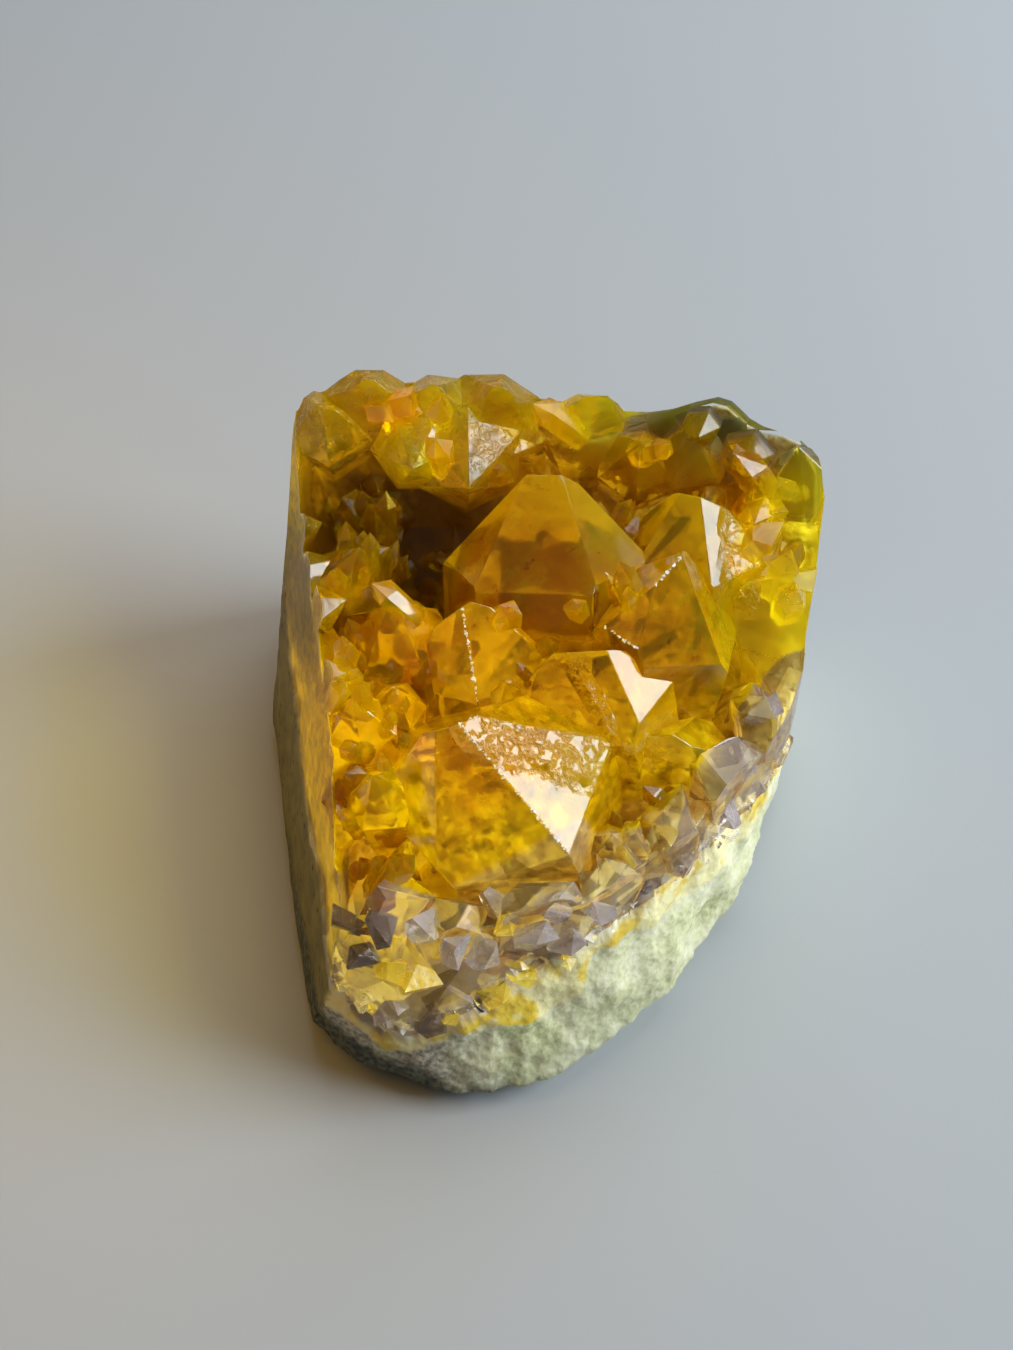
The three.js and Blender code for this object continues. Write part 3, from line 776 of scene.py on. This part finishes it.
# %% Planting
small_mesh = bmesh.new()
small_marks = {"tip": [], "open": []}
planted = 0
for (west, east), (south, north), tries, (thin, thick), most_open, highest in ZONES:
    for _ in range(tries):
        above = Vector((dice.uniform(west, east), dice.uniform(south, north), 40)) * MM
        width = dice.uniform(thin, thick)
        tilt = Vector((dice.gauss(0, 0.3), dice.gauss(0, 0.3), dice.gauss(0, 0.2)))
        hit, normal, _, _ = crystal_tree.ray_cast(above, Vector((0, 0, -1)))
        if hit is None or normal.z < 0.15 or hit.z > highest * MM:
            continue
        if rind_tree.find_nearest(hit)[3] < 1.5 * MM:
            continue
        free = openness(hit, normal)
        on_big_face = (hit / MM - Vector(BIG_FACE)).length < 3.0
        in_band = along_front(np.array([hit / MM]))[0] > 0.5
        if free > most_open or on_big_face or in_band:
            continue
        way = (normal * 0.7 + Vector((0, 0, 0.5)) + tilt).normalized()
        length = width * dice.uniform(1.7, 2.4)
        beside = hit + way * length * 0.5 * MM + Vector((-1.1 * MM, 0, 1 * MM))
        if crystal_tree.ray_cast(beside, Vector((0, 0, -1)), 5 * MM)[0] is None:
            continue
        corners = grow(small_mesh, hit - way * width * 0.9 * MM, way, width, length)
        small_marks["tip"] += [0.0] * 6 + [0.6] * 6 + [1.0]
        small_marks["open"] += [free * 0.8] * 6 + [free] * 7
        planted += 1
print("planted", planted, "small crystals")

# %% The small crystals as a piece
small_points = np.array([v.co for v in small_mesh.verts]) / MM
nowhere = np.zeros(len(small_points))
small_marks |= {
    "amber": nowhere + 1,
    "broken": nowhere,
    "etched": nowhere,
    "sliver": nowhere,
    "sugary": nowhere,
    "frost": faded(small_points[:, 1], 9, 13),
    "haze": haziness(small_points),
    # the small crystals get most of the hollow's painted shade
    "hollow": hollow_shade_share(small_points) * 0.8,
    "sunlit": sunlit(small_points),
}
small = piece_from("small_points", small_mesh, amber_quartz)
store_all(small, small_marks)

# %% [markdown]
# ## Broken quartz along the front
# Where the geode was broken, the quartz under the crystals shattered into angular bits that still cling to
# the rind. They are clear, grey, slightly violet or smoky, and some are gold. Each one is the convex hull
# of ten points, the simplest solid with flat faces and sharp corners. Rays that come in from outside, level
# or sloping down, find the places of the small ones. The larger blocks stand at chosen places.

# %% A function for one bit
def shard(mesh, centre, size):
    """Adds one angular bit, size mm across."""
    stretch = Vector((dice.uniform(0.7, 1.2), dice.uniform(0.7, 1.2), dice.uniform(0.6, 1.0)))
    corners = []
    for _ in range(10):
        way = Vector((dice.gauss(0, 1), dice.gauss(0, 1), dice.gauss(0, 1))).normalized()
        corners.append(mesh.verts.new(centre + way * stretch * (size / 2 * MM)))
    hull = bmesh.ops.convex_hull(mesh, input=corners)
    inside = [item for item in hull["geom_interior"] if isinstance(item, bmesh.types.BMVert)]
    bmesh.ops.delete(mesh, geom=inside, context="VERTS")
    return [corner for corner in corners if corner.is_valid]


def rim_point(share):
    """A point on the front rim, 0 at its left end and 1 at its right end, in mm, and the way inward."""
    place = share * (len(FRONT_RIM) - 1)
    step = min(int(place), len(FRONT_RIM) - 2)
    a, b = Vector(FRONT_RIM[step]), Vector(FRONT_RIM[step + 1])
    along = (b - a).normalized()
    return a.lerp(b, place - step), Vector((-along.y, along.x))


print("the middle of the rim is at", [round(c, 1) for c in rim_point(0.5)[0]])

# %% Small bits
BITS_TRIED = 1400
shard_mesh = bmesh.new()
shade_layer = shard_mesh.verts.layers.float.new("shade")
set_down = 0
for _ in range(BITS_TRIED):
    spot, inward = rim_point(dice.random())
    height = dice.uniform(4.0, 17.0)
    size = dice.choice((0.5, 0.7, 0.9, 1.2, 1.6, 2.0))
    start = Vector((spot.x - inward.x * 6, spot.y - inward.y * 6, height)) * MM
    way = Vector((inward.x, inward.y, dice.uniform(-0.5, 0.0))).normalized()
    on_rind = rind_tree.ray_cast(start, way, 12 * MM)
    on_quartz = crystal_tree.ray_cast(start, way, 12 * MM)
    if on_quartz[0] is None:
        continue
    if on_rind[0] is not None and on_rind[3] < on_quartz[3]:
        hit, contact = on_rind[0], crystal_tree.find_nearest(on_rind[0])[3] / MM
    else:
        hit, contact = on_quartz[0], rind_tree.find_nearest(on_quartz[0])[3] / MM
    if contact > 1.3 or (contact > 0.6 and dice.random() < 0.5):
        continue
    shade = dice.random()
    for corner in shard(shard_mesh, hit + way * size * 0.22 * MM, size):
        corner[shade_layer] = shade
    set_down += 1
print("set down", set_down, "bits of quartz")

# %% Larger blocks
SMOKY, VIOLET, GOLD = 0.0, 0.13, 0.82  # places on the colour ramp below
BLOCKS = (
    ((-10.9, -13.2, 11.3), 3.0, SMOKY),
    ((-8.9, -14.3, 12.2), 2.8, SMOKY),
    ((-10.0, -15.0, 10.0), 2.2, SMOKY),
    ((-6.4, -14.1, 12.0), 3.0, VIOLET),
    ((-4.6, -15.0, 11.2), 3.0, VIOLET),
    ((-2.9, -14.9, 10.5), 2.8, VIOLET),
    ((-2.4, -12.6, 11.8), 2.6, VIOLET),
    ((-0.4, -14.3, 11.4), 3.4, VIOLET),
    ((0.9, -13.3, 12.4), 2.6, VIOLET),
    ((1.6, -13.9, 10.4), 2.4, VIOLET),
    ((3.2, -12.9, 11.4), 2.4, VIOLET),
    ((-8.4, -16.9, 6.5), 3.4, VIOLET),
    ((-6.2, -17.2, 6.4), 2.8, SMOKY),
    ((12.4, -3.6, 12.8), 2.6, VIOLET),
    ((11.0, -6.2, 11.4), 2.4, VIOLET),
    ((13.3, -0.8, 14.3), 2.6, VIOLET),
    ((-8.2, -15.7, 9.7), 2.4, GOLD),
    ((-6.8, -15.9, 9.3), 2.8, GOLD),
    ((-2.0, -14.0, 12.0), 1.6, GOLD),
    ((-2.6, -15.9, 7.6), 2.6, GOLD),
    ((-1.2, -15.4, 8.3), 2.0, GOLD),
)
for centre, size, shade in BLOCKS:
    for corner in shard(shard_mesh, Vector(centre) * MM, size):
        corner[shade_layer] = shade
print("and", len(BLOCKS), "blocks")

# %% [markdown]
# ## Chips along the sharp edges
# The edges of crystals that stood free are nicked. A row of tiny bits, a third of a millimetre at most,
# sits on five of the ridges and glitters like the nicks do, and the crystals' own faces stay uncut.

# %% Chips
CHIPPED = ((-3.9, 1.0, 18.4), (-1.4, -8.9, 17.3), (4.0, -0.6, 19.2), (-4.4, -6.4, 21.0), (7.2, 4.2, 21.6))
CHIPS_PER_MM = 9
FRESH = 0.97
chips = 0
for place in CHIPPED:
    ridge = min(ridges, key=lambda ends: ((ends[0] + ends[1]) / 2 - Vector(place)).length)
    length = (ridge[1] - ridge[0]).length
    for _ in range(int(length * CHIPS_PER_MM)):
        spot = ridge[0].lerp(ridge[1], dice.random()) * MM
        jitter = Vector((dice.gauss(0, 0.03), dice.gauss(0, 0.03), dice.gauss(0, 0.03))) * MM
        for corner in shard(shard_mesh, spot + jitter, dice.uniform(0.08, 0.26)):
            corner[shade_layer] = FRESH
        chips += 1
print("chips:", chips)

# %% [markdown]
# ## The finish of the broken quartz
# Each bit carries one number, its shade: by chance for the small ones, chosen for the blocks and the chips.
# A ramp turns that number into a colour: smoky, violet grey, clear, or gold. Fresh breaks are duller than
# crystal faces, and so less light goes straight through.

# %% Finish of the broken quartz
broken_quartz = Finish("broken_quartz")
cloud = broken_quartz.clouds(0.9, detail=4, rough=0.6)
shade = broken_quartz.mark("shade")
glassy = broken_quartz.ramp(
    shade * 0.8 + cloud * 0.2,
    (0.12, (0.17, 0.12, 0.10, 1)),
    (0.18, (0.54, 0.48, 0.51, 1)),
    (0.40, (0.79, 0.75, 0.77, 1)),
    (0.60, (0.93, 0.91, 0.88, 1)),
    (0.72, (0.94, 0.75, 0.08, 1)),
    (0.79, (0.94, 0.77, 0.10, 1)),
    (0.86, (0.95, 0.95, 0.93, 1)),
)
broken_glass = broken_quartz.surface(
    Base_Color=glassy,
    Roughness=0.10 + cloud.fade(0.4, 0.7) * 0.25,
    IOR=1.544,
    Transmission_Weight=0.64,
    Normal=broken_quartz.relief(cloud, 0.05),
)
clear_quartz = broken_quartz.output(broken_quartz.lets_light_in(broken_glass, (0.9, 0.9, 0.9, 1)))
piece_from("quartz_shards", shard_mesh, clear_quartz)

# %% [markdown]
# ## The table
# The piece rests on a plain pale surface, which isn't part of it. It only catches the shadow. It is 3 m
# wide, which puts its edges out of the camera's own sight. From a low angle its far edge still shows as a
# horizon.

# %% Table
TABLE_WIDTH = 3
bpy.ops.mesh.primitive_plane_add(size=TABLE_WIDTH)
table = bpy.context.object
table.name = "table"
pale_table = Finish("table")
table.data.materials.append(
    pale_table.output(pale_table.surface(Base_Color=screen(179, 183, 187), Roughness=0.7))
)
print("table:", TABLE_WIDTH, "m wide")
